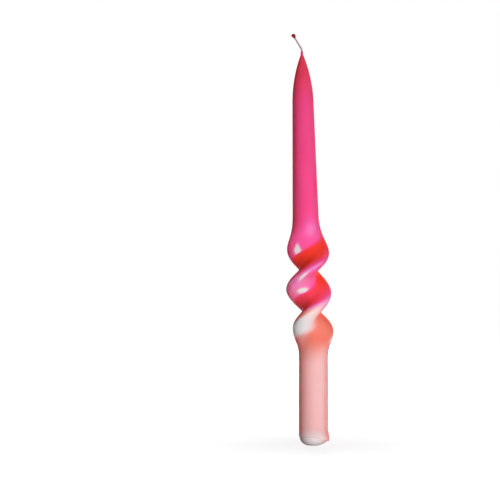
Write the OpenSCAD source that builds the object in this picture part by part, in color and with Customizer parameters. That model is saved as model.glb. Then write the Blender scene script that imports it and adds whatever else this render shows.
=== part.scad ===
// Twisted taper candle, standing on its foot.
// A cotton wick runs up a white wax core. Two skins of dyed wax cover the core, one from the foot and one
// from the tip, and both thin out towards a bare white band. The middle is rolled flat and twisted by hand.
// The origin is the middle of the face that the candle stands on, and +Z runs up to the wick.

/* [Foot] */
// Diameter of the straight foot that sits in a holder
foot_d = 22; // [19:0.5:26]
// Height of the straight foot, up to where the twist begins
foot_h = 56; // [45:1:90]
// Diameter of the flat that the candle stands on
stand_d = 7; // [5:0.5:14]
// Height of the rounded end of the foot
round_h = 6.5; // [3:0.5:8]

/* [Twist] */
// Height of the rolled and twisted stretch
twist_h = 118.5; // [95:0.5:140]
// Height over which round turns to ribbon above the foot
foot_blend_h = 45; // [20:1:50]
// Height over which ribbon turns to round below the taper
shoulder_blend_h = 35; // [20:1:50]
// Width of the rolled ribbon
ribbon_w = 34.2; // [28:0.2:38]
// Thickness of the rolled ribbon in its middle, square to its face
ribbon_t = 13.1; // [9:0.1:17]
// Fullness of the ribbon's edges, where 2 is an ellipse and less is a leaner edge
edge_power = 1.8; // [1.6:0.1:3]
// Height of one full turn of the ribbon
turn_pitch = 62.6; // [50:0.2:90]
// Height in the middle of the twist that turns at the full rate
turn_h = 46; // [30:1:70]
// Height over which the turning dies away, above and below that
turn_ease = 30; // [10:1:40]
// Direction of the ribbon's width at mid height, from +X
ribbon_face = -10; // [-90:1:90]
// Distance of the ribbon's middle from the axis
ribbon_offset = 0.8; // [0:0.1:2]
// Tilt of the ribbon's sections, down towards +X
ribbon_skew = 3.3; // [0:0.1:5]
// Sideways drift of the axis over the twist, towards -X
axis_drift = 6; // [0:0.5:12]

/* [Taper] */
// Diameter at the top of the twist
shoulder_d = 19.7; // [16:0.1:22]
// Length of the straight taper above the twist
taper_h = 83.5; // [50:0.5:140]
// Diameter where the point begins
neck_d = 16.1; // [12:0.1:20]
// Length of the point
tip_h = 37; // [25:1:50]
// Width of the wax left round the wick at the blunt end
tip_wall = 0.5; // [0.3:0.05:1]
// Lean of the taper from upright, towards -X
taper_lean = 1.3; // [0:0.1:4]

/* [Dyed skins] */
// Thickness of the dyed wax
skin_t = 0.5; // [0.3:0.05:1]
// Thickness at the thinned edge of the dyed wax
skin_edge = 0.12; // [0.05:0.01:0.25]
// Height over which the dyed wax thins out
skin_fade = 16; // [8:1:24]
// Height of the bare white band
bare_h = 6; // [3:0.5:12]
// Height of the middle of the white band above the bottom of the twist
bare_mid = 42; // [30:1:60]

/* [Wick] */
// Diameter of the wick
wick_d = 1.4; // [1:0.1:2]
// Clearance all round the wick in the wax
wick_fit = 0.05; // [0.02:0.01:0.1]
// Height of the lower end of the wick above the face that the candle stands on
wick_foot = 3; // [2:0.5:10]
// Straight length of the wick above the tip
wick_rise = 3.5; // [3:0.5:10]
// Length of the wick past its bend
wick_out = 10.5; // [6:0.5:30]
// Angle of the bend
wick_bend = 30; // [0:1:60]
// Radius of the bend at the middle of the wick
bend_r = 5; // [3:0.5:12]
// Thickness of the wax drawn up the wick above the tip
sleeve_wall = 0.25; // [0.15:0.05:0.3]
// Length of the wax drawn up the wick
sleeve_h = 3; // [1.5:0.5:3]
// Thickness of the wax bead round the end of the wick
bead_wall = 0.65; // [0.4:0.05:2]
// Length of the wax bead
bead_h = 3.6; // [3:0.1:6]

/* [Hidden] */
$fn = 72;
sides = 36;
ring_step = 2.5;
wick_sides = 8;
arc_steps = 14;
bend_steps = 4;
// Width of the core wax left round the wick at the top of the core
core_land = 0.2;
// Depth that the lofted stretch reaches into the turned ones, and how far it stays inside their surfaces
bury = 0.5;
seam = 0.03;

foot_r = foot_d / 2;
twist_top = foot_h + twist_h;
twist_mid = foot_h + twist_h / 2;
lower_top = foot_h + bare_mid - bare_h / 2;
upper_bottom = lower_top + bare_h;
bore_r = wick_d / 2 + wick_fit;
straight_bore_r = bore_r + seam;
core_end_r = straight_bore_r + core_land;
tip_r = straight_bore_r + tip_wall;
sleeve_r = straight_bore_r + sleeve_wall;
bead_r = bore_r + bead_wall;

function clamped(t) = max(0, min(1, t));
function smooth(t) = let (c = clamped(t)) c * c * (3 - 2 * c);
function mix(a, b, t) = a + (b - a) * t;
function signed_power(x, p) = sign(x) * pow(abs(x), p);

// Share of ribbon in the section at a height, from 0 where it is round to 1 where it is flat
function ribbon_share(z) = smooth((z - foot_h) / foot_blend_h) * smooth((twist_top - z) / shoulder_blend_h);

// How far the turning has died away at a distance from mid height, as a length up to turn_ease
function eased(d) = max(0, min(abs(d) - turn_h / 2, turn_ease));

// Angle of the ribbon's width at a height
function turned(d) = sign(d) * (min(abs(d), turn_h / 2) + eased(d) - pow(eased(d), 2) / (2 * turn_ease));
function turn_angle(z) = ribbon_face + 360 * turned(z - twist_mid) / turn_pitch;

// Turning in radians for each millimetre of height
function turn_rate(z) = 2 * PI / turn_pitch * (1 - eased(z - twist_mid) / turn_ease);

// The axis drifts over the twist and leaves it in line with the leaning taper
function twist_part(z) = clamped((z - foot_h) / twist_h);
function axis_x(z) =
    let (t = twist_part(z))
    -axis_drift * smooth(t) + tan(taper_lean) * (twist_h * t * t * (1 - t) - max(0, z - twist_top));
function section_tilt(z) = ribbon_skew * ribbon_share(z) - taper_lean * smooth(twist_part(z));
function round_r(z) = mix(foot_r, shoulder_d / 2, smooth(twist_part(z)));

// Section of the candle at a height, drawn in by an inset. A ribbon of even thickness that twists shows
// thicker towards its edges where it is cut level.
function section(z, inset) =
    let (share = ribbon_share(z))
    let (half_w = mix(round_r(z), ribbon_w / 2, share) - inset)
    let (half_t = mix(round_r(z), ribbon_t / 2, share) - inset)
    let (power = mix(1, 2 / edge_power, share))
    let (rate = turn_rate(z) * share)
    [for (i = [0 : sides - 1])
        let (u = half_w * signed_power(cos(360 * i / sides), power))
        let (v = half_t * signed_power(sin(360 * i / sides), power))
        [u - ribbon_offset * share, v * sqrt(1 + pow(rate * u, 2))]];

// The same section turned, tilted and set on the axis
function ring(z, inset) =
    let (a = turn_angle(z))
    let (tilt = section_tilt(z))
    [for (p = section(z, inset))
        let (x = p.x * cos(a) - p.y * sin(a))
        let (y = p.x * sin(a) + p.y * cos(a))
        [axis_x(z) + x * cos(tilt), y, z - x * sin(tilt)]];

// Heights of the rings between two levels
function levels(z0, z1) = let (n = ceil((z1 - z0) / ring_step)) [for (i = [0 : n]) mix(z0, z1, i / n)];
lower_levels = concat([foot_h - bury], levels(foot_h, lower_top));
bare_levels = levels(lower_top, upper_bottom);
upper_levels = concat(levels(upper_bottom, twist_top), [twist_top + bury]);
function seam_at(z) = z < foot_h + bury || z > twist_top - bury ? seam : 0;

// Thickness of each skin at a height
lower_fade = min(skin_fade, lower_top - foot_h);
upper_fade = min(skin_fade, twist_top - upper_bottom);
function lower_skin(z) = mix(skin_edge, skin_t, smooth((lower_top - z) / lower_fade));
function upper_skin(z) = mix(skin_edge, skin_t, smooth((z - upper_bottom) / upper_fade));

// Faces of a wall of stacked rings, and of the end of a hollow one
function wall_faces(rows, n, first, outward) =
    [for (i = [0 : rows - 2], j = [0 : n - 1])
        let (a = first + i * n + j)
        let (b = first + i * n + (j + 1) % n)
        each outward ? [[a, a + n, b + n], [a, b + n, b]] : [[a, b + n, a + n], [a, b, b + n]]];
function rim_faces(n, outer, inner, upward) =
    [for (j = [0 : n - 1])
        let (k = (j + 1) % n)
        each upward
            ? [[outer + j, inner + j, inner + k], [outer + j, inner + k, outer + k]]
            : [[outer + j, outer + k, inner + k], [outer + j, inner + k, inner + j]]];

module loft(rings) {
    n = len(rings[0]);
    last = (len(rings) - 1) * n;
    ends = [[for (j = [0 : n - 1]) j], [for (j = [n - 1 : -1 : 0]) last + j]];
    polyhedron([for (r = rings) each r], concat(ends, wall_faces(len(rings), n, 0, true)), convexity = 10);
}

module loft_shell(outer, inner) {
    n = len(outer[0]);
    rows = len(outer);
    first = rows * n;
    faces = concat(
        wall_faces(rows, n, 0, true),
        wall_faces(rows, n, first, false),
        rim_faces(n, 0, first, false),
        rim_faces(n, first - n, 2 * first - n, true));
    polyhedron(concat([for (r = outer) each r], [for (r = inner) each r]), faces, convexity = 10);
}

// Outline of the taper and its pointed tip above the twist, drawn in by an inset. The point is an arc that
// runs straight on from the taper.
arc_drop = neck_d / 2 - tip_r;
arc_r = (pow(tip_h, 2) + pow(arc_drop, 2)) / (2 * arc_drop);
function point_r(h, inset) = neck_d / 2 - arc_r + sqrt(pow(arc_r - inset, 2) - h * h);
function point_h(r, inset) = sqrt(pow(arc_r - inset, 2) - pow(r - neck_d / 2 + arc_r, 2));
function taper_outline(inset, end_r) =
    let (end_h = point_h(end_r, inset))
    concat(
        [[0, 0], [shoulder_d / 2 - inset, 0]],
        [for (i = [0 : arc_steps])
            let (h = end_h * i / arc_steps)
            [point_r(h, inset), taper_h + h]],
        [[0, taper_h + end_h]]);

module on_taper() {
    translate([axis_x(twist_top), 0, twist_top])
        rotate([0, -taper_lean, 0])
            children();
}

// Bore for the wick in the straight stretches, open at the top
module straight_bore(h) {
    cylinder(r = straight_bore_r, h = 2 * h);
}

// Route of the wick up the axis and over its bend, all in the XZ plane
tip_z = twist_top + (taper_h + tip_h) * cos(taper_lean);
tip_x = axis_x(twist_top) - (taper_h + tip_h) * sin(taper_lean);
function heading(a) = [-sin(a), 0, cos(a)];
bend_start = [tip_x, 0, tip_z] + wick_rise * heading(taper_lean);
bend_points = [for (i = [0 : bend_steps])
    let (a = taper_lean + wick_bend * i / bend_steps)
    bend_start + bend_r * [cos(a) - cos(taper_lean), 0, sin(a) - sin(taper_lean)]];
wick_end_angle = taper_lean + wick_bend;
wick_end = bend_points[bend_steps] + wick_out * heading(wick_end_angle);
wick_route = concat(
    [[0, 0, wick_foot]],
    [for (z = levels(foot_h, twist_top)) [axis_x(z), 0, z]],
    bend_points,
    [wick_end]);

function route_heading(i) =
    let (d = wick_route[min(i + 1, len(wick_route) - 1)] - wick_route[max(i - 1, 0)])
    atan2(-d.x, d.z);

module wick_run(grow) {
    loft([for (i = [0 : len(wick_route) - 1])
        let (a = route_heading(i))
        [for (j = [0 : wick_sides - 1])
            let (c = (wick_d / 2 + grow) * cos(360 * j / wick_sides))
            let (s = (wick_d / 2 + grow) * sin(360 * j / wick_sides))
            wick_route[i] + [c * cos(a), s, c * sin(a)]]]);
}

// Rounded end and straight side of the foot, inside the dyed skin
module foot_core() {
    core_r = foot_r - skin_t;
    rounding = [for (i = [0 : arc_steps])
        let (a = 90 * i / arc_steps)
        [mix(stand_d / 2, core_r, sin(a)), round_h * (1 - cos(a))]];
    difference() {
        rotate_extrude()
            polygon(concat([[0, 0]], rounding, [[core_r, foot_h], [0, foot_h]]));
        translate([0, 0, wick_foot])
            straight_bore(foot_h);
    }
}

module twist_core() {
    difference() {
        loft(concat(
            [for (z = lower_levels) ring(z, lower_skin(z) + seam_at(z))],
            [for (z = bare_levels) ring(z, 0)],
            [for (z = upper_levels) ring(z, upper_skin(z) + seam_at(z))]));
        wick_run(wick_fit);
    }
}

module taper_solid(inset, end_r) {
    rotate_extrude()
        polygon(taper_outline(inset, end_r));
}

module taper_core() {
    on_taper()
        difference() {
            taper_solid(skin_t, core_end_r);
            translate([0, 0, -taper_h])
                straight_bore(taper_h + tip_h);
        }
}

module wax_core() {
    color("ivory")
        union() {
            foot_core();
            twist_core();
            taper_core();
        }
}

module lower_dye_skin() {
    core_r = foot_r - skin_t;
    color("lightsalmon")
        union() {
            rotate_extrude()
                polygon([[core_r, round_h], [core_r + skin_edge, round_h], [foot_r, round_h + 2 * skin_t],
                    [foot_r, foot_h], [core_r, foot_h]]);
            loft_shell(
                [for (z = lower_levels) ring(z, seam_at(z))],
                [for (z = lower_levels) ring(z, lower_skin(z) - 2 * seam_at(z))]);
        }
}

// Wax drawn up the wick where it leaves the tip
module sleeve() {
    top = taper_h + tip_h + sleeve_h;
    rotate_extrude()
        polygon([[0, taper_h], [sleeve_r, taper_h], [sleeve_r, top - skin_edge], [sleeve_r - skin_edge, top],
            [0, top]]);
}

module upper_dye_skin() {
    color("hotpink")
        union() {
            loft_shell(
                [for (z = upper_levels) ring(z, seam_at(z))],
                [for (z = upper_levels) ring(z, upper_skin(z) - 2 * seam_at(z))]);
            on_taper()
                difference() {
                    union() {
                        taper_solid(0, tip_r);
                        sleeve();
                    }
                    taper_solid(skin_t, core_end_r);
                    straight_bore(taper_h + tip_h);
                }
        }
}

module wick() {
    color("gainsboro")
        wick_run(0);
}

// Drop of wax that wraps the end of the wick
module wick_bead() {
    drop = [for (i = [0 : arc_steps])
        let (a = 180 * i / arc_steps)
        [bead_r * sin(a), -bead_h / 2 * cos(a)]];
    color("darkred")
        translate(wick_end)
            rotate([0, -wick_end_angle, 0])
                difference() {
                    rotate_extrude()
                        polygon(drop);
                    translate([0, 0, -bead_h])
                        cylinder(r = bore_r, h = bead_h + wick_fit);
                }
}

wax_core();
lower_dye_skin();
upper_dye_skin();
wick();
wick_bead();
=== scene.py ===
import math
from collections import namedtuple

import bpy
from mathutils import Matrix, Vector


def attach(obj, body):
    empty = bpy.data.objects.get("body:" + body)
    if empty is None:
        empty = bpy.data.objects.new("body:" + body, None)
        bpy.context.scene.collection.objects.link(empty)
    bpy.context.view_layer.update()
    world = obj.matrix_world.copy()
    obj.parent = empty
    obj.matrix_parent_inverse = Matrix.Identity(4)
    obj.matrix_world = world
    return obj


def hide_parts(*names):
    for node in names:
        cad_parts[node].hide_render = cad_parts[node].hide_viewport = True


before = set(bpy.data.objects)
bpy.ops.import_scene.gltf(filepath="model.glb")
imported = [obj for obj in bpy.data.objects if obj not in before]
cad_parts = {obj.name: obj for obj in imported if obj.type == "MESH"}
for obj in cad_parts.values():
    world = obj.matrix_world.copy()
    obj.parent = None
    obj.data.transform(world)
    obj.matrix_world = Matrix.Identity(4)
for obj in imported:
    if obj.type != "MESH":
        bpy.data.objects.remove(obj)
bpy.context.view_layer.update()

# Sizes of the candle in millimetres, the same as those of its solids
MM = 0.001
FOOT_R = 11
FOOT_H = 56
STAND_R = 3.5
ROUND_H = 6.5
TWIST_H = 118.5
FOOT_BLEND_H = 45
SHOULDER_BLEND_H = 35
RIBBON_W = 34.2
RIBBON_T = 13.1
EDGE_POWER = 1.8
TURN_PITCH = 62.6
TURN_H = 46
TURN_EASE = 30
RIBBON_FACE = math.radians(-10)
RIBBON_OFFSET = 0.8
RIBBON_SKEW = math.radians(3.3)
AXIS_DRIFT = 6
SHOULDER_R = 9.85
TAPER_H = 83.5
NECK_R = 8.05
TIP_H = 37
TIP_R = 1.28
TAPER_LEAN = math.radians(1.3)
SKIN_T = 0.5
SKIN_EDGE = 0.12
SKIN_FADE = 16
BARE_LOW = 95
BARE_HIGH = 101
WICK_R = 0.7
WICK_FOOT = 3
WICK_RISE = 3.5
WICK_OUT = 10.5
WICK_BEND = math.radians(30)
BEND_R = 5
SLEEVE_H = 3
BEAD_TOP_R = 1.6
BEAD_H = 3.6

TWIST_TOP = FOOT_H + TWIST_H
TWIST_MID = FOOT_H + TWIST_H / 2
CORE_R = FOOT_R - SKIN_T

# Fineness of the meshes
SIDES = 144
TWIST_STEP = 0.8
PLAIN_STEP = 2.0
TIP_STEP = 0.8
END_STEPS = 16
RIM_STEPS = 4
LIP_STEP = 0.6

# Angles from which an edge is sharp
WAX_CREASE = math.radians(50)
WICK_CREASE = math.radians(60)


def clamped(t):
    return max(0.0, min(1.0, t))


def smooth(t):
    c = clamped(t)
    return c * c * (3 - 2 * c)


def mix(a, b, t):
    return a + (b - a) * t


def signed_power(x, p):
    return math.copysign(abs(x) ** p, x)


def steps(low, high, size):
    """Evenly spaced levels from low to high, about size apart."""
    n = max(1, math.ceil((high - low) / size))
    return [mix(low, high, i / n) for i in range(n + 1)]


# The twist, as its solids are made


def ribbon_share(z):
    return smooth((z - FOOT_H) / FOOT_BLEND_H) * smooth((TWIST_TOP - z) / SHOULDER_BLEND_H)


def eased(d):
    return max(0.0, min(abs(d) - TURN_H / 2, TURN_EASE))


def turn_angle(z):
    d = z - TWIST_MID
    turned = min(abs(d), TURN_H / 2) + eased(d) - eased(d) ** 2 / (2 * TURN_EASE)
    return RIBBON_FACE + math.copysign(2 * math.pi * turned / TURN_PITCH, d)


def turn_rate(z):
    return 2 * math.pi / TURN_PITCH * (1 - eased(z - TWIST_MID) / TURN_EASE)


def twist_part(z):
    return clamped((z - FOOT_H) / TWIST_H)


def axis_x(z):
    t = twist_part(z)
    lean = math.tan(TAPER_LEAN) * (TWIST_H * t * t * (1 - t) - max(0, z - TWIST_TOP))
    return lean - AXIS_DRIFT * smooth(t)


def section_tilt(z):
    return RIBBON_SKEW * ribbon_share(z) - TAPER_LEAN * smooth(twist_part(z))


def twist_point(z, a, inset):
    share = ribbon_share(z)
    round_r = mix(FOOT_R, SHOULDER_R, smooth(twist_part(z)))
    half_w = mix(round_r, RIBBON_W / 2, share) - inset
    half_t = mix(round_r, RIBBON_T / 2, share) - inset
    power = mix(1, 2 / EDGE_POWER, share)
    u = half_w * signed_power(math.cos(a), power)
    v = half_t * signed_power(math.sin(a), power) * math.hypot(1, turn_rate(z) * share * u)
    u -= RIBBON_OFFSET * share
    turn = turn_angle(z)
    tilt = section_tilt(z)
    x = u * math.cos(turn) - v * math.sin(turn)
    y = u * math.sin(turn) + v * math.cos(turn)
    return Vector((axis_x(z) + x * math.cos(tilt), y, z - x * math.sin(tilt)))


# The foot below the twist, with its rounded end and a drip lip on one side
FOOT_TURN = turn_angle(FOOT_H)
LIP_OUT = 0.95
LIP_LOW = 3.2
LIP_HIGH = 12.5
LIP_FULL = 6
LIP_POWER = 1.5
CONE_POWER = 0.6


def lip_share(a):
    """1 on the side of the drip lip, which is +X, and 0 from square to it round the back."""
    return max(0.0, math.cos(a)) ** LIP_POWER


def end_h(a):
    """Height of the rounded end of the foot on one side."""
    return mix(ROUND_H, LIP_LOW, lip_share(a))


def end_point(t, a, r):
    """A point of the rounded end, from the flat that it stands on at t = 0 to radius r at t = 1."""
    dome = math.sqrt(1 - (1 - t) ** 2)
    out = mix(STAND_R, r, mix(dome, t ** CONE_POWER, lip_share(a)))
    return Vector((out * math.cos(a), out * math.sin(a), t * end_h(a)))


def foot_point(z, a, inset):
    lip = LIP_OUT * lip_share(a) * smooth((LIP_HIGH - z) / (LIP_HIGH - LIP_FULL))
    r = FOOT_R - inset + lip
    return Vector((r * math.cos(a), r * math.sin(a), z))


# The taper above the twist, along its own leaning axis
TAPER_TURN = turn_angle(TWIST_TOP)
ARC_DROP = NECK_R - TIP_R
ARC_R = (TIP_H ** 2 + ARC_DROP ** 2) / (2 * ARC_DROP)
TAPER_ROOT = Vector((axis_x(TWIST_TOP), 0, TWIST_TOP))
TAPER_AXIS = Vector((-math.sin(TAPER_LEAN), 0, math.cos(TAPER_LEAN)))
TAPER_SIDE = Vector((math.cos(TAPER_LEAN), 0, math.sin(TAPER_LEAN)))
FRONT_BACK = Vector((0, 1, 0))


def taper_r(h):
    if h < TAPER_H:
        return mix(SHOULDER_R, NECK_R, h / TAPER_H)
    return NECK_R - ARC_R + math.sqrt(ARC_R ** 2 - (h - TAPER_H) ** 2)


def on_taper(r, h, a):
    b = a + TAPER_TURN
    return TAPER_ROOT + h * TAPER_AXIS + r * (math.cos(b) * TAPER_SIDE + math.sin(b) * FRONT_BACK)


# Dye in the wax, which also carries painted shade and painted highlights. Amounts go from 0 to 1. So do
# places on a face of the ribbon, from just above one edge to just below the next edge
Spot = namedtuple("Spot", "place pink peach scatter")
WAX_TOP = TWIST_TOP + TAPER_H + TIP_H

# A value that goes smoothly from first to last, with the start and the length of the change
Change = namedtuple("Change", "first last start over")


def value_at(change, x):
    return mix(change.first, change.last, smooth((x - change.start) / change.over))


def face_part(a):
    """Place on a face of the ribbon."""
    return 1 - a % math.pi / math.pi


def under(up, edge, fade):
    """1 under an edge across a face and 0 over it, with a smooth change about it."""
    return 1 - smooth((up - edge) / fade + 0.5)


# Painted highlights and painted sheen, made as pale patches where the pink dye is taken away: face of the
# ribbon, level, place on the face and its shift per mm up, half height, half width and its narrowing per mm
# up, and the share of the dye that is taken away
PaintedHighlight = namedtuple("PaintedHighlight", "face z up slant half_z half_up narrow share")
PAINTED_HIGHLIGHTS = (
    PaintedHighlight(0, 164, 0.53, 0, 8, 0.2, 0, 0.28),
    PaintedHighlight(0, 148, 0.655, 0.01, 3.8, 0.05, 0.1, 1.8),
    PaintedHighlight(1, 128, 0.905, 0.017, 3.1, 0.033, 0, 1),
    PaintedHighlight(1, 117, 0.6, 0, 1.9, 0.065, 0, 1.8),
    PaintedHighlight(1, 120.5, 0.76, 0, 8, 0.19, 0, 0.36),
)
LEAST_WIDTH = 0.3

# The crests of the ribbon, paler as thin dye and as a painted highlight along them, and less pale towards
# the shoulder
CREST_HALF = 0.08
CREST_SHARE = 0.28
CREST_PALE = Change(1, 0.15, 135, 8)


def dye_under_highlights(z, a):
    """Share of the pink dye that is left on the proud parts of the ribbon, where painted highlights make it
    pale.
    """
    face = a % (2 * math.pi) // math.pi
    up = face_part(a)
    proud = value_at(CREST_PALE, z) * ribbon_share(z)
    paled = CREST_SHARE * proud * math.exp(-(min(up, 1 - up) / CREST_HALF) ** 2)
    for p in PAINTED_HIGHLIGHTS:
        if p.face == face:
            rise = z - p.z
            half_up = p.half_up * max(LEAST_WIDTH, 1 - p.narrow * rise)
            aside = (up - p.up - p.slant * rise) / half_up
            paled += p.share * math.exp(-(rise / p.half_z) ** 2 - aside ** 2)
    return max(0, 1 - paled)


# The pink dye: levels where it starts on the plain wax and in the pools, and how deep it is. The pools'
# deeper red is partly dye and partly painted shade of the hollows
PLAIN_START = 90
PLAIN_FADE = 30
PLAIN_PINK = Change(0.6, 0.67, 150, 20)
# Deeper pink towards the tip: painted shade
TIP_SHADE_PINK = Change(0, 0.17, 250, 40)
COLLAR_PINK = Change(1, 0.75, WAX_TOP, 1.2)
POOL_START = 97
POOL_FADE = 9
SHADE_POOL_PINK = Change(0.86, 0.95, 112, 14)

# Both edges of the pools across a face. The upper one waves, and comes down to the ribbon's edge at the top
POOL_FOOT = Change(0.05, -0.04, 138, 8)
POOL_FOOT_FADE = 0.26
POOL_EDGE = 0.58
POOL_EDGE_FADE = Change(0.12, 0.07, 117, 10)
POOL_TOP_FADE = Change(0, 0.15, 146, 10)
WAVE_OUT = 0.12
WAVE_H = 30
WAVE_TOP = Change(136.5, 139, 122, 8)
POOL_TOP = 165
POOL_TOP_H = 32


def pink_at(z, a):
    """Pink dye, deeper in red pools above the edges of the ribbon: partly gathered dye, partly painted
    shade of the hollows.
    """
    up = face_part(a)
    wave = math.cos(2 * math.pi * (z - value_at(WAVE_TOP, z)) / WAVE_H)
    edge = min(POOL_EDGE + WAVE_OUT * wave, (POOL_TOP - z) / POOL_TOP_H)
    edge_fade = value_at(POOL_EDGE_FADE, z) + value_at(POOL_TOP_FADE, z)
    dye_and_shade_pool = smooth((up - value_at(POOL_FOOT, z)) / POOL_FOOT_FADE) * under(up, edge, edge_fade)
    plain = (value_at(PLAIN_PINK, z) + value_at(TIP_SHADE_PINK, z)) * dye_under_highlights(z, a)
    dye = mix(plain, value_at(SHADE_POOL_PINK, z), dye_and_shade_pool) * value_at(COLLAR_PINK, z)
    start = mix(PLAIN_START, POOL_START, dye_and_shade_pool)
    return dye * smooth((z - start) / mix(PLAIN_FADE, POOL_FADE, dye_and_shade_pool))


# The peach dye: how deep it is, where it ends, and its upper edge across a face. Low down that edge goes up
# to the ribbon's edge, and high up it is sharper. Above the ribbon's edge, and deeper low on the face, it
# is partly painted shade
FOOT_PEACH = 0.33
FACE_PEACH = Change(0.75, 0.5, 0.5, 0.2)
FACE_SHARE = Change(0, 1, 61, 22)
PEACH_LEFT = Change(1, 0, 98, 8)
PEACH_EDGE = 0.6
PEACH_FADE = 0.26
CREST_RUN = 0.16
LOW_Z = 89
LOW_H = 10.5
LOW_RISE = 0.4
HIGH_Z = 90
HIGH_H = 8
HIGH_RISE = 0.08
HIGH_FADE = 0.14


def peach_at(z, a):
    """Peach dye up to the line that the candle was dipped to, and higher above one edge of the ribbon,
    where it is partly painted shade.
    """
    up = face_part(a)
    high = clamped((z - HIGH_Z) / HIGH_H)
    edge = PEACH_EDGE + LOW_RISE * max(0, (LOW_Z - z) / LOW_H) ** 2 + HIGH_RISE * high
    fade = mix(PEACH_FADE, HIGH_FADE, high)
    dye_and_shade_pool = mix(under(1, edge, fade), 1, smooth(up / CREST_RUN)) * under(up, edge, fade)
    depth = mix(FOOT_PEACH, value_at(FACE_PEACH, up), value_at(FACE_SHARE, z))
    return dye_and_shade_pool * value_at(PEACH_LEFT, z) * depth


# The rounded end of the foot, where the dye is thin, and the drip lip, where it gathered
END_PEACH = Change(0.04, FOOT_PEACH, 1, 13)
DRIP_PEACH = Change(0, 0.3, 1, 4)
DRIP_LEFT = Change(1, 0, 8, 9)

SCATTER_FADE = 14
END_SCATTER = Change(0, 1, 5, 8)


def scatter_at(z):
    """Share of light that goes into the wax, none at the edges where one piece meets another."""
    if z > BARE_HIGH:
        return smooth((z - BARE_HIGH) / SCATTER_FADE)
    return smooth((BARE_LOW - z) / SCATTER_FADE) * value_at(END_SCATTER, z)


def spot(place, z, a):
    return Spot(place, pink_at(z, a), peach_at(z, a), scatter_at(z))


def foot_spot(place, a):
    z = place.z
    drip = value_at(DRIP_PEACH, z) * value_at(DRIP_LEFT, z) * lip_share(a) ** 2
    return Spot(place, 0, value_at(END_PEACH, z) + drip, scatter_at(z))


# Meshes

AROUND = [2 * math.pi * i / SIDES for i in range(SIDES)]
FOOT_AROUND = [a + FOOT_TURN for a in AROUND]


def add_object(name, mesh, material):
    mesh.materials.append(material)
    piece = bpy.data.objects.new(name, mesh)
    bpy.context.scene.collection.objects.link(piece)
    return piece


def ring_faces(first, second, n):
    return [(first + j, first + (j + 1) % n, second + (j + 1) % n, second + j) for j in range(n)]


def wax_piece(name, rows, material):
    """A closed solid of stacked rings of spots, with a cap at each end."""
    n = len(rows[0])
    spots = [s for row in rows for s in row]
    faces = []
    for i in range(len(rows) - 1):
        faces += ring_faces(i * n, (i + 1) * n, n)
    for row, base, flip in ((rows[0], 0, True), (rows[-1], (len(rows) - 1) * n, False)):
        middle = sum((s.place for s in row), Vector()) / n
        spots.append(row[0]._replace(place=middle))
        hub = len(spots) - 1
        for j in range(n):
            edge = (base + j, base + (j + 1) % n)
            faces.append((*(edge[::-1] if flip else edge), hub))
    mesh = bpy.data.meshes.new(name)
    mesh.from_pydata([s.place * MM for s in spots], [], faces)
    for field in ("pink", "peach", "scatter"):
        values = mesh.attributes.new(field, "FLOAT", "POINT")
        values.data.foreach_set("value", [getattr(s, field) for s in spots])
    mesh.shade_smooth()
    mesh.set_sharp_from_angle(angle=WAX_CREASE)
    return add_object(name, mesh, material)


def twist_row(z, inset):
    return [spot(twist_point(z, a, inset), z, a) for a in AROUND]


def foot_row(z, inset):
    """A ring of the foot. It turns with the ring above it, so that the wall's faces don't twist."""
    part = (z - ROUND_H) / (FOOT_H - ROUND_H)
    return [foot_spot(foot_point(mix(end_h(a), FOOT_H, part), a, inset), a) for a in FOOT_AROUND]


def end_row(t, r):
    return [foot_spot(end_point(t, a, r), a) for a in FOOT_AROUND]


def taper_row(r, h):
    return [spot(on_taper(r, h, a), TWIST_TOP + h, a) for a in AROUND]


# The lower skin's rounded rim, and the top of its close rings by the drip lip
RIM_H = 1.2
CLOSE_TOP = 20

# How far the core ends below the tip
CORE_BELOW_TIP = 1

# The collar round the wick: radii and heights above the tip
COLLAR = ((1.1, 0.5), (0.98, 1.1), (0.98, 1.6), (1.04, 2.1), (1.02, 2.6), (0.9, 2.9), (0.8, SLEEVE_H))


def lower_skin_t(z):
    return mix(SKIN_EDGE, SKIN_T, smooth((BARE_LOW - z) / SKIN_FADE))


def upper_skin_t(z):
    return mix(SKIN_EDGE, SKIN_T, smooth((z - BARE_HIGH) / SKIN_FADE))


def make_core(material):
    core_tip = TAPER_H + TIP_H - CORE_BELOW_TIP
    rows = [end_row((i / END_STEPS) ** 2, CORE_R) for i in range(END_STEPS + 1)]
    rows += [foot_row(z, SKIN_T) for z in steps(ROUND_H, FOOT_H, PLAIN_STEP)[1:]]
    rows += [twist_row(z, lower_skin_t(z)) for z in steps(FOOT_H, BARE_LOW, TWIST_STEP)[1:]]
    rows += [twist_row(z, 0) for z in steps(BARE_LOW, BARE_HIGH, TWIST_STEP)]
    rows += [twist_row(z, upper_skin_t(z)) for z in steps(BARE_HIGH, TWIST_TOP, TWIST_STEP)]
    rows += [taper_row(taper_r(h) - SKIN_T, h) for h in steps(0, TAPER_H, PLAIN_STEP)[1:]]
    rows += [taper_row(taper_r(h) - SKIN_T, h) for h in steps(TAPER_H, core_tip, TIP_STEP)[1:]]
    return wax_piece("core", rows, material)


def make_lower_skin(material):
    rim_top = ROUND_H + RIM_H
    rows = [foot_row(ROUND_H, SKIN_T - SKIN_EDGE)]
    for t in steps(0, 1, 1 / RIM_STEPS)[1:]:
        rows.append(foot_row(mix(ROUND_H, rim_top, t), SKIN_T * (1 - t) ** 2))
    rows += [foot_row(z, 0) for z in steps(rim_top, CLOSE_TOP, LIP_STEP)[1:]]
    rows += [foot_row(z, 0) for z in steps(CLOSE_TOP, FOOT_H, PLAIN_STEP)[1:]]
    rows += [twist_row(z, 0) for z in steps(FOOT_H, BARE_LOW, TWIST_STEP)[1:]]
    return wax_piece("lower_skin", rows, material)


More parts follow.
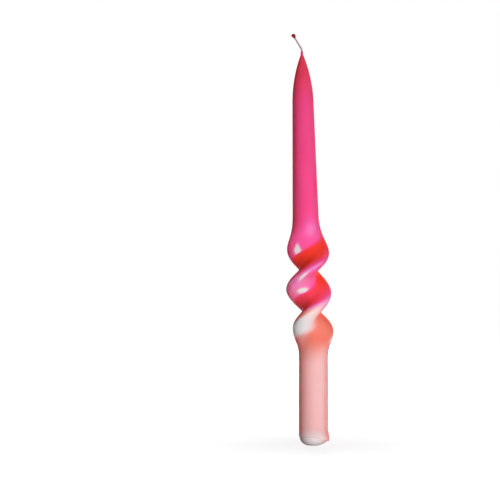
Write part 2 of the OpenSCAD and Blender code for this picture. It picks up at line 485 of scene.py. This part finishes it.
def make_upper_skin(material):
    tip = TAPER_H + TIP_H
    rows = [twist_row(z, 0) for z in steps(BARE_HIGH, TWIST_TOP, TWIST_STEP)]
    rows += [taper_row(taper_r(h), h) for h in steps(0, TAPER_H, PLAIN_STEP)[1:]]
    rows += [taper_row(taper_r(h), h) for h in steps(TAPER_H, tip, TIP_STEP)[1:]]
    rows += [taper_row(r, tip + h) for r, h in COLLAR]
    return wax_piece("upper_skin", rows, material)


# The wick, a flat plait of three strands along the candle's axis and over the bend
STRANDS = 3
STRAND_R = 0.3
STRAND_SIDES = 8
PLAIT_PITCH = 3.4
PLAIT_W = 0.4
PLAIT_T = 0.26
PLAIT_STEP = 0.28


def heading(a):
    return Vector((-math.sin(a), 0, math.cos(a)))


TIP = TAPER_ROOT + (TAPER_H + TIP_H) * TAPER_AXIS
BEND_START = TIP + WICK_RISE * heading(TAPER_LEAN)
END_ANGLE = TAPER_LEAN + WICK_BEND


def bend_point(a):
    out = math.cos(a) - math.cos(TAPER_LEAN)
    rise = math.sin(a) - math.sin(TAPER_LEAN)
    return BEND_START + BEND_R * Vector((out, 0, rise))


WICK_END = bend_point(END_ANGLE) + WICK_OUT * heading(END_ANGLE)


def straight(start, end):
    """Points from start to end without the first, PLAIT_STEP apart."""
    return [mix(start, end, t) for t in steps(0, 1, PLAIT_STEP / (end - start).length)[1:]]


def wick_route():
    """Points along the middle of the wick, PLAIT_STEP apart."""
    points = [Vector((axis_x(z), 0, z)) for z in steps(WICK_FOOT, TWIST_TOP, PLAIT_STEP)]
    points += straight(TAPER_ROOT, BEND_START)
    points += [bend_point(a) for a in steps(TAPER_LEAN, END_ANGLE, PLAIT_STEP / BEND_R)[1:]]
    points += straight(bend_point(END_ANGLE), WICK_END)
    return points


def make_wick(material):
    route = wick_route()
    verts = []
    faces = []
    for k in range(STRANDS):
        first = len(verts)
        for i, middle in enumerate(route):
            ahead = (route[min(i + 1, len(route) - 1)] - route[max(i - 1, 0)]).normalized()
            side = FRONT_BACK.cross(ahead)
            phase = 2 * math.pi * (i * PLAIT_STEP / PLAIT_PITCH + k / STRANDS)
            centre = middle + PLAIT_W * math.sin(phase) * side + PLAIT_T * math.sin(2 * phase) * FRONT_BACK
            for j in range(STRAND_SIDES):
                b = 2 * math.pi * j / STRAND_SIDES
                verts.append((centre + STRAND_R * (math.cos(b) * side + math.sin(b) * FRONT_BACK)) * MM)
        for i in range(len(route) - 1):
            faces += ring_faces(first + i * STRAND_SIDES, first + (i + 1) * STRAND_SIDES, STRAND_SIDES)
        last = first + (len(route) - 1) * STRAND_SIDES
        faces.append(tuple(first + j for j in reversed(range(STRAND_SIDES))))
        faces.append(tuple(last + j for j in range(STRAND_SIDES)))
    mesh = bpy.data.meshes.new("braided_wick")
    mesh.from_pydata(verts, [], faces)
    mesh.shade_smooth()
    mesh.set_sharp_from_angle(angle=WICK_CREASE)
    return add_object("braided_wick", mesh, material)


# The drop of wax round the end of the wick, which leans and has lobes
BEAD_SIDES = 40
BEAD_ROWS = 28
BEAD_RIM = 0.7
BEAD_FLARE = 0.8
BEAD_LEAN = 0.08
BEAD_LEAN_TURN = 5
BEAD_LOBES = 3
BEAD_LOBE_OUT = 0.05
BEAD_LOBE_TURN = 1


def bead_r(t):
    """Radius of the drop, a cap that widens from the wick up to its rounded rim."""
    if t < BEAD_RIM:
        return mix(WICK_R, BEAD_TOP_R, (t / BEAD_RIM) ** BEAD_FLARE)
    return BEAD_TOP_R * math.sqrt(1 - ((t - BEAD_RIM) / (1 - BEAD_RIM)) ** 2)


def bead_shape(t, b):
    """How far the drop is out of round on one side, as a factor of its radius."""
    lean = BEAD_LEAN * math.sin(b + BEAD_LEAN_TURN * t)
    lobes = BEAD_LOBE_OUT * math.sin(BEAD_LOBES * b + BEAD_LOBE_TURN)
    return 1 + lean + lobes


def make_bead(material):
    axis = heading(END_ANGLE)
    side = FRONT_BACK.cross(axis)
    foot = WICK_END - BEAD_H / 2 * axis
    verts = [foot * MM]
    for i in range(1, BEAD_ROWS):
        t = (1 - math.cos(math.pi * i / BEAD_ROWS)) / 2
        for j in range(BEAD_SIDES):
            b = 2 * math.pi * j / BEAD_SIDES
            out = bead_r(t) * bead_shape(t, b) * (math.cos(b) * side + math.sin(b) * FRONT_BACK)
            verts.append((foot + t * BEAD_H * axis + out) * MM)
    verts.append((foot + BEAD_H * axis) * MM)
    faces = []
    for i in range(BEAD_ROWS - 2):
        faces += ring_faces(1 + i * BEAD_SIDES, 1 + (i + 1) * BEAD_SIDES, BEAD_SIDES)
    last = 1 + (BEAD_ROWS - 2) * BEAD_SIDES
    for j in range(BEAD_SIDES):
        k = (j + 1) % BEAD_SIDES
        faces.append((1 + k, 1 + j, 0))
        faces.append((last + j, last + k, len(verts) - 1))
    mesh = bpy.data.meshes.new("end_bead")
    mesh.from_pydata(verts, [], faces)
    mesh.shade_smooth()
    return add_object("end_bead", mesh, material)


# Materials


def srgb(red, green, blue):
    """A colour given as it shows on a screen, from 0 to 255, as the shader takes it."""
    def linear(v):
        v /= 255
        return v / 12.92 if v <= 0.04045 else ((v + 0.055) / 1.055) ** 2.4
    return (linear(red), linear(green), linear(blue), 1)


class Nodes:
    """A material and short calls that add nodes to it and link them."""

    def __init__(self, name):
        self.material = bpy.data.materials.new(name)
        self.material.use_nodes = True
        self.tree = self.material.node_tree
        self.shader = self.tree.nodes["Principled BSDF"]

    def add(self, kind, **settings):
        node = self.tree.nodes.new(kind)
        for key, value in settings.items():
            setattr(node, key, value)
        return node

    def link(self, source, target):
        self.tree.links.new(source, target)

    def field(self, name):
        return self.add("ShaderNodeAttribute", attribute_name=name).outputs["Fac"]

    def math(self, operation, a, b):
        node = self.add("ShaderNodeMath", operation=operation)
        for socket, value in zip(node.inputs, (a, b)):
            if isinstance(value, (int, float)):
                socket.default_value = value
            else:
                self.link(value, socket)
        return node.outputs[0]

    def noise(self, scale, stretch=(1, 1, 1), detail=3):
        place = self.add("ShaderNodeTexCoord").outputs["Object"]
        mapping = self.add("ShaderNodeMapping")
        mapping.inputs["Scale"].default_value = stretch
        self.link(place, mapping.inputs["Vector"])
        node = self.add("ShaderNodeTexNoise")
        node.inputs["Scale"].default_value = scale
        node.inputs["Detail"].default_value = detail
        self.link(mapping.outputs["Vector"], node.inputs["Vector"])
        return node.outputs["Fac"]

    def ramp(self, value, stops):
        node = self.add("ShaderNodeValToRGB")
        ramp = node.color_ramp
        while len(ramp.elements) < len(stops):
            ramp.elements.new(1)
        for element, (position, colour) in zip(ramp.elements, stops):
            element.position = position
            element.color = colour
        self.link(value, node.inputs["Fac"])
        return node.outputs["Color"]

    def spread(self, value, low, high):
        node = self.add("ShaderNodeMapRange")
        node.inputs["To Min"].default_value = low
        node.inputs["To Max"].default_value = high
        self.link(value, node.inputs["Value"])
        return node.outputs["Result"]

    def bump(self, height, distance):
        node = self.add("ShaderNodeBump")
        node.inputs["Distance"].default_value = distance
        self.link(height, node.inputs["Height"])
        self.link(node.outputs["Normal"], self.shader.inputs["Normal"])


# Colours of the wax by the amount of each dye, which are multiplied
PINK_STOPS = (
    (0.0, (0.86, 0.775, 0.785, 1)),
    (0.18, (0.99, 0.63, 0.58, 1)),
    (0.36, (1, 0.36, 0.68, 1)),
    (0.55, (1, 0.135, 0.44, 1)),
    (0.68, (1, 0.088, 0.315, 1)),
    (0.95, (1, 0.062, 0.05, 1)),
)
PEACH_STOPS = (
    (0.0, (0.93, 1, 1, 1)),
    (0.33, (1, 0.72, 0.71, 1)),
    (0.75, (1, 0.325, 0.24, 1)),
)

# How uneven the dye is, how many millimetres red light goes, and how soon the sheen comes with the dye
MOTTLE = 0.03
SCATTER_DEPTH = 16
SHEEN_GAIN = 3

# Fine grain of the wax: scales of its noises, and the height of its bumps in millimetres
MOTTLE_GRAIN = 90
MOTTLE_STRETCH = (1, 1, 0.35)
GLOSS_GRAIN = 260
WAX_GRAIN = 700
WAX_BUMP = 0.02


def mottled(n, field, mottle):
    dye = n.field(field)
    return n.math("ADD", dye, n.math("MULTIPLY", mottle, dye))


def wax_material(name):
    """Wax that scatters red light deeply, with the dye, painted shade and painted highlights that the
    vertices carry.

    Dyed wax looks deeper in colour along its surface, so it has a red sheen where there is dye.
    """
    n = Nodes(name)
    mottle = n.spread(n.noise(MOTTLE_GRAIN, MOTTLE_STRETCH), -MOTTLE, MOTTLE)
    dyed = n.add("ShaderNodeMix", data_type="RGBA", blend_type="MULTIPLY")
    dyed.inputs["Factor"].default_value = 1
    n.link(n.ramp(mottled(n, "pink", mottle), PINK_STOPS), dyed.inputs[6])
    n.link(n.ramp(mottled(n, "peach", mottle), PEACH_STOPS), dyed.inputs[7])
    n.link(dyed.outputs[2], n.shader.inputs["Base Color"])
    n.link(n.spread(n.noise(GLOSS_GRAIN), 0.26, 0.36), n.shader.inputs["Roughness"])
    n.link(n.field("scatter"), n.shader.inputs["Subsurface Weight"])
    n.shader.inputs["Subsurface Radius"].default_value = (1, 0.07, 0.1)
    n.shader.inputs["Subsurface Scale"].default_value = SCATTER_DEPTH * MM
    n.shader.inputs["IOR"].default_value = 1.44
    n.shader.inputs["Specular IOR Level"].default_value = 0.03
    dye = n.math("ADD", n.field("pink"), n.field("peach"))
    sheen = n.math("MINIMUM", n.math("MULTIPLY", dye, SHEEN_GAIN), 1)
    n.link(sheen, n.shader.inputs["Sheen Weight"])
    n.shader.inputs["Sheen Roughness"].default_value = 0.7
    n.shader.inputs["Sheen Tint"].default_value = (1, 0.06, 0.01, 1)
    n.bump(n.noise(WAX_GRAIN, detail=4), WAX_BUMP * MM)
    return n.material


COTTON_DARK = srgb(176, 142, 158)
COTTON_PALE = srgb(216, 186, 200)
COTTON_GRAIN = 1500
FIBRE_GRAIN = 4000
FIBRE_STRETCH = (1, 1, 0.2)
FIBRE_BUMP = 0.03

# Share of dye in the wick by the tip, its colour, and the levels between which it ends
WICK_DYE = 0.8
WICK_DYE_COLOUR = srgb(188, 84, 136)
WICK_DYE_LOW = WAX_TOP + 2
WICK_DYE_HIGH = WAX_TOP + 8


def wick_material():
    """Waxed cotton, which has drawn a little of the dye up from the tip."""
    n = Nodes("cotton_wick")
    cotton = n.ramp(n.noise(COTTON_GRAIN), ((0.3, COTTON_DARK), (0.7, COTTON_PALE)))
    place = n.add("ShaderNodeSeparateXYZ")
    n.link(n.add("ShaderNodeNewGeometry").outputs["Position"], place.inputs[0])
    drawn = n.add("ShaderNodeMapRange")
    drawn.inputs["From Min"].default_value = WICK_DYE_LOW * MM
    drawn.inputs["From Max"].default_value = WICK_DYE_HIGH * MM
    drawn.inputs["To Min"].default_value = WICK_DYE
    drawn.inputs["To Max"].default_value = 0
    n.link(place.outputs["Z"], drawn.inputs["Value"])
    dyed = n.add("ShaderNodeMix", data_type="RGBA")
    n.link(drawn.outputs["Result"], dyed.inputs["Factor"])
    n.link(cotton, dyed.inputs[6])
    dyed.inputs[7].default_value = WICK_DYE_COLOUR
    n.link(dyed.outputs[2], n.shader.inputs["Base Color"])
    n.shader.inputs["Roughness"].default_value = 0.75
    n.bump(n.noise(FIBRE_GRAIN, FIBRE_STRETCH), FIBRE_BUMP * MM)
    return n.material


BEAD_DARK = srgb(120, 0, 0)
BEAD_RED = srgb(185, 8, 0)
BEAD_COLOUR_GRAIN = 700
BEAD_GLOSS_GRAIN = 900
BEAD_BUMP_GRAIN = 1500
BEAD_BUMP = 0.03


def bead_material():
    n = Nodes("red_bead")
    red = n.ramp(n.noise(BEAD_COLOUR_GRAIN), ((0.3, BEAD_DARK), (0.65, BEAD_RED)))
    n.link(red, n.shader.inputs["Base Color"])
    n.link(n.spread(n.noise(BEAD_GLOSS_GRAIN), 0.3, 0.45), n.shader.inputs["Roughness"])
    n.shader.inputs["Specular IOR Level"].default_value = 0.15
    n.bump(n.noise(BEAD_BUMP_GRAIN), BEAD_BUMP * MM)
    return n.material


# The pieces on their body
core = make_core(wax_material("white_wax"))
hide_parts("wax_core")
lower_skin = make_lower_skin(wax_material("peach_wax"))
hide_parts("lower_dye_skin")
upper_skin = make_upper_skin(wax_material("pink_wax"))
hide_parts("upper_dye_skin")
wick = make_wick(wick_material())
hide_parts("wick")
bead = make_bead(bead_material())
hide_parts("wick_bead")
for piece in (core, lower_skin, upper_skin, wick, bead):
    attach(piece, "root")


# Floor, world, light and camera


def shown_white(tree, links_to):
    """1 for a ray that looks at the background, from the camera or off a shiny surface."""
    path = tree.nodes.new("ShaderNodeLightPath")
    seen = path.outputs["Is Camera Ray"]
    for name in ("Is Glossy Ray", "Is Transmission Ray"):
        most = tree.nodes.new("ShaderNodeMath")
        most.operation = "MAXIMUM"
        tree.links.new(seen, most.inputs[0])
        tree.links.new(path.outputs[name], most.inputs[1])
        seen = most.outputs[0]
    tree.links.new(seen, links_to)


# Sizes and places from here on are in metres
AMBIENT = 0.03
FLOOR_R = 60
FLOOR_GREY = (0.3, 0.3, 0.3, 1)

# The floor's glow, lower near the candle so that its shadow shows: distances from the middle, and levels
GLOW_NEAR_R = 0.015
GLOW_FAR_R = 0.15
GLOW_NEAR = 0.8
GLOW_FAR = 1

REAR_AIM = (0, 0, 0.14)
REAR_SIZE = (0.5, 0.5)

EYE = (-0.04807, -1.5, 0.1479)
LENS = 142.55
SENSOR_W = 36


def make_world():
    world = bpy.data.worlds.new("studio")
    world.use_nodes = True
    tree = world.node_tree
    background = tree.nodes["Background"]
    background.inputs["Color"].default_value = (1, 1, 1, 1)
    level = tree.nodes.new("ShaderNodeMapRange")
    level.inputs["To Min"].default_value = AMBIENT
    level.inputs["To Max"].default_value = 1
    shown_white(tree, level.inputs["Value"])
    tree.links.new(level.outputs["Result"], background.inputs["Strength"])
    bpy.context.scene.world = world


def make_floor():
    mesh = bpy.data.meshes.new("floor")
    corners = [(-FLOOR_R, -FLOOR_R, 0), (FLOOR_R, -FLOOR_R, 0),
               (FLOOR_R, FLOOR_R, 0), (-FLOOR_R, FLOOR_R, 0)]
    mesh.from_pydata(corners, [], [(0, 1, 2, 3)])
    n = Nodes("floor")
    n.shader.inputs["Base Color"].default_value = FLOOR_GREY
    n.shader.inputs["Roughness"].default_value = 1
    n.shader.inputs["Specular IOR Level"].default_value = 0
    n.shader.inputs["Emission Color"].default_value = (1, 1, 1, 1)
    away = n.add("ShaderNodeVectorMath", operation="LENGTH")
    n.link(n.add("ShaderNodeNewGeometry").outputs["Position"], away.inputs[0])
    glow = n.add("ShaderNodeMapRange")
    glow.inputs["From Min"].default_value = GLOW_NEAR_R
    glow.inputs["From Max"].default_value = GLOW_FAR_R
    glow.inputs["To Min"].default_value = GLOW_NEAR
    glow.inputs["To Max"].default_value = GLOW_FAR
    n.link(away.outputs["Value"], glow.inputs["Value"])
    level = n.add("ShaderNodeMath", operation="MULTIPLY")
    n.link(glow.outputs["Result"], level.inputs[1])
    shown_white(n.tree, level.inputs[0])
    n.link(level.outputs[0], n.shader.inputs["Emission Strength"])
    add_object("floor", mesh, n.material)


def add_lamp(name, place, aim, size, watts):
    light = bpy.data.lights.new(name, "AREA")
    light.shape = "RECTANGLE"
    light.size = size[0]
    light.size_y = size[1]
    light.energy = watts
    lamp = bpy.data.objects.new(name, light)
    lamp.location = place
    lamp.rotation_euler = (Vector(aim) - Vector(place)).to_track_quat("-Z", "Y").to_euler()
    lamp.visible_glossy = False
    lamp.visible_camera = False
    bpy.context.scene.collection.objects.link(lamp)


def make_camera():
    camera = bpy.data.cameras.new("camera")
    camera.lens = LENS
    camera.sensor_width = SENSOR_W
    eye = bpy.data.objects.new("camera", camera)
    eye.location = EYE
    eye.rotation_euler = (math.pi / 2, 0, 0)
    bpy.context.scene.collection.objects.link(eye)
    bpy.context.scene.camera = eye


make_world()
make_floor()
add_lamp("front_box", (0.21, -0.56, 0.078), (0, 0, 0.1), (0.34, 0.14), 3.9)
add_lamp("right_box", (0.65, 1.35, 0.35), REAR_AIM, REAR_SIZE, 3.5)
add_lamp("back_box", (0, 1.6, 0.35), REAR_AIM, REAR_SIZE, 18.5)
add_lamp("left_box", (-1.1, 1, 0.35), REAR_AIM, REAR_SIZE, 3.6)
make_camera()
bpy.context.scene.view_settings.view_transform = "Standard"
